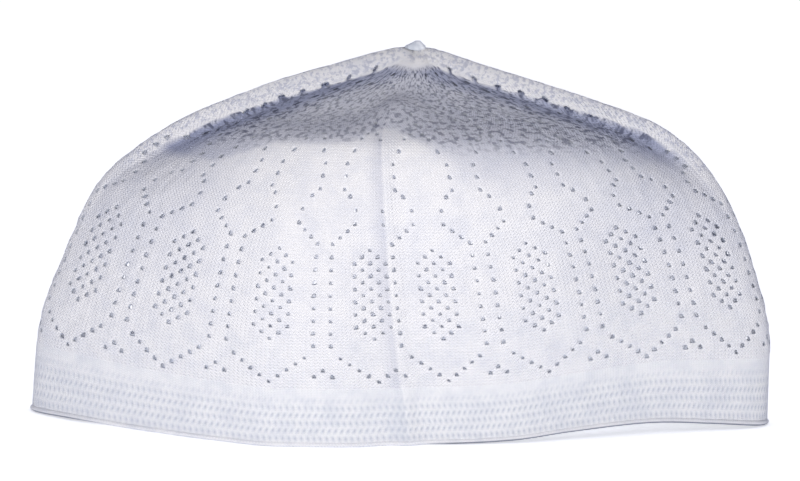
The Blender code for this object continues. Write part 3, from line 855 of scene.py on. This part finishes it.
# Gathered cotton yarn gives bunched threads, matt and a shade greyer than the knit
gathered = knit_material(
    "gathered_cotton_yarn", "d9dde4", "aab2c0", wales=TIP_WALES, courses=TIP_ROWS, depth=0.3)
tip = new_piece("tip_stub_gathered", tip_mesh, gathered, "tip_stub")

# The table, the light and the camera: a plain white table that glows like a light box, with a
# lamp of its own, and for the cap a soft box in front and above, a wide one behind, a faint one
# inside that keeps the eyelets from going black, and a cool weak fill from all round.
TABLE_GLOW = 0.53
TABLE_SUN = 1.2
KEY_POWER = 1.88
BACK_POWER = 5.0
INSIDE_POWER = 0.028
ROOM_FILL = 0.36

floor_mesh = bmesh.new()
bmesh.ops.create_grid(floor_mesh, x_segments=1, y_segments=1, size=10.0)
floor_data = bpy.data.meshes.new("table_top")
floor_mesh.to_mesh(floor_data)
floor_mesh.free()
table_top = bpy.data.objects.new("table_top", floor_data)
bpy.context.scene.collection.objects.link(table_top)

# The lit white table is matt and bright enough to show pure white, with a faint shade by the hem
paper = bpy.data.materials.new("lit_white_table")
paper.use_nodes = True
paper_shader = paper.node_tree.nodes["Principled BSDF"]
paper_shader.inputs["Base Color"].default_value = linear("f0f0f2")
paper_shader.inputs["Roughness"].default_value = 0.9
paper_shader.inputs["Emission Color"].default_value = linear("ffffff")
paper_shader.inputs["Emission Strength"].default_value = TABLE_GLOW
floor_data.materials.append(paper)

table_lamp = bpy.data.lights.new("table_lamp", "SUN")
table_lamp.energy = TABLE_SUN
table_lamp.angle = math.radians(90.0)
overhead = bpy.data.objects.new("table_lamp", table_lamp)
bpy.context.scene.collection.objects.link(overhead)
only_table = bpy.data.collections.new("only_table")
only_table.objects.link(table_top)
overhead.light_linking.receiver_collection = only_table
all_but_table = bpy.data.collections.new("all_but_table")
all_but_table.objects.link(table_top)
all_but_table.collection_objects[0].light_linking.link_state = "EXCLUDE"

world = bpy.data.worlds.new("soft_room")
bpy.context.scene.world = world
world.use_nodes = True
world.node_tree.nodes["Background"].inputs["Color"].default_value = linear("c2c8ea")
world.node_tree.nodes["Background"].inputs["Strength"].default_value = ROOM_FILL
bpy.context.scene.view_settings.view_transform = "Standard"


def soft_light(name, place, target, size, power, hex_colour):
    """A soft box that faces a point and lights everything but the table."""
    light = bpy.data.lights.new(name, "AREA")
    light.shape = "RECTANGLE"
    light.energy = power
    light.size, light.size_y = size
    light.color = linear(hex_colour)[:3]
    holder = bpy.data.objects.new(name, light)
    holder.location = place
    holder.rotation_mode = "QUATERNION"
    holder.rotation_quaternion = (Vector(target) - Vector(place)).to_track_quat("-Z", "Y")
    holder.visible_camera = False
    holder.light_linking.receiver_collection = all_but_table
    bpy.context.scene.collection.objects.link(holder)


soft_light("front_box", (-0.03, -0.45, 0.28), (0.0, 0.0, 0.07), (0.36, 0.20), KEY_POWER, "fffaf0")
soft_light("back_box", (0.0, 0.9, 0.14), (0.0, 0.0, 0.05), (0.6, 0.2), BACK_POWER, "fbfbff")
soft_light("inside_box", (0.0, 0.0, 0.004), (0.0, 0.0, 0.07), (0.13, 0.03), INSIDE_POWER, "f4f6ff")

# A long lens, a little above the table and rolled by a degree, as the photograph was taken. The
# frame's centre is given in its pixels, to the left of the cap's middle and up from its hem.
PHOTO_WIDTH = 800
PIXEL = 0.289 * MM
SENSOR_WIDTH = 36.0
CAMERA_ANGLE = math.radians(12.0)
CAMERA_ROLL = math.radians(1.09)
CAMERA_DISTANCE = 1.3
FRAME_CENTRE_LEFT = 2.9
FRAME_CENTRE_UP = 177.5

aim = Vector((-FRAME_CENTRE_LEFT * PIXEL, 0.0, FRAME_CENTRE_UP * PIXEL / math.cos(CAMERA_ANGLE)))
lens = bpy.data.cameras.new("camera")
lens.sensor_width = SENSOR_WIDTH
lens.lens = SENSOR_WIDTH * CAMERA_DISTANCE / (PHOTO_WIDTH * PIXEL)
camera = bpy.data.objects.new("camera", lens)
bpy.context.scene.collection.objects.link(camera)
camera.location = aim + CAMERA_DISTANCE * Vector((0.0, -math.cos(CAMERA_ANGLE), math.sin(CAMERA_ANGLE)))
camera.rotation_mode = "QUATERNION"
look = (aim - camera.location).to_track_quat("-Z", "Y")
camera.rotation_quaternion = look @ Quaternion((0.0, 0.0, 1.0), CAMERA_ROLL)
bpy.context.scene.camera = camera
